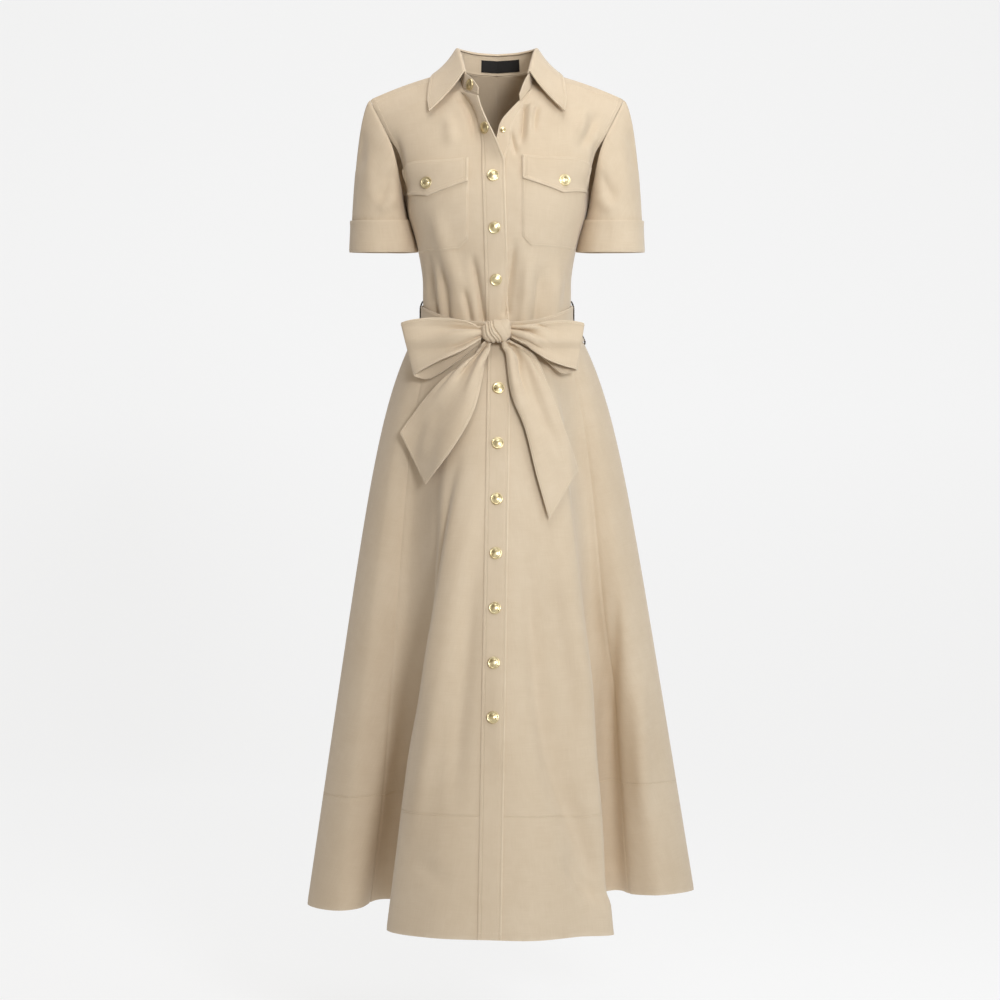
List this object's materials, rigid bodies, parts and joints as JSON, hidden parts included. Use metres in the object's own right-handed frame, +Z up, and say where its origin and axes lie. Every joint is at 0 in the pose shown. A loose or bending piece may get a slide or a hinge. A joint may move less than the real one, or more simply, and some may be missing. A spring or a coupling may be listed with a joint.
{
  "type": "shirt dress",
  "caption": "Belted midi shirt dress in tan twill with short cuffed sleeves, flap chest pockets, snap front and tied sash, in its worn shape.",
  "frame": {"origin": "between the high points of the two shoulders, in the middle of the neck opening, where the wearer's shoulders hold the dress up", "axes": "+Z up, -Y is the front of the dress, +X the wearer's left"},
  "size_m": [0.5692, 0.5414, 1.266],
  "materials": {
    "twill": "tan cotton twill, matt with a soft sheen",
    "thread": "dark twisted thread",
    "brass": "pale polished brass, plain caps",
    "label": "black woven satin label, blank"
  },
  "bodies": {
    "root": {"bodice_front_right": "twill", "bodice_front_left": "twill", "placket_under": "twill", "bodice_back": "twill", "sleeve_right": "twill", "sleeve_left": "twill", "cuff_right": "twill", "cuff_left": "twill", "collar_stand": "twill", "collar_leaf": "twill", "neck_label": "label", "skirt_front_right": "twill", "skirt_front_left": "twill", "skirt_back": "twill", "skirt_placket_under": "twill", "placket_outer": "twill", "pocket_right": "twill", "pocket_left": "twill", "pocket_flap_right": "twill", "pocket_flap_left": "twill", "sash_band": "twill", "bow_knot": "twill", "bow_loop_right": "twill", "bow_loop_left": "twill", "bow_tail_right": "twill", "bow_tail_left": "twill", "belt_carrier_right": "thread", "belt_carrier_left": "thread", "snap_neck": "brass", "snap_stand": "brass", "snap_bodice_1": "brass", "snap_bodice_2": "brass", "snap_bodice_3": "brass", "snap_skirt_1": "brass", "snap_skirt_2": "brass", "snap_skirt_3": "brass", "snap_skirt_4": "brass", "snap_skirt_5": "brass", "snap_skirt_6": "brass", "snap_skirt_7": "brass", "snap_flap_right": "brass", "snap_flap_left": "brass", "snap_stud": "brass"}
  },
  "joints": []
}
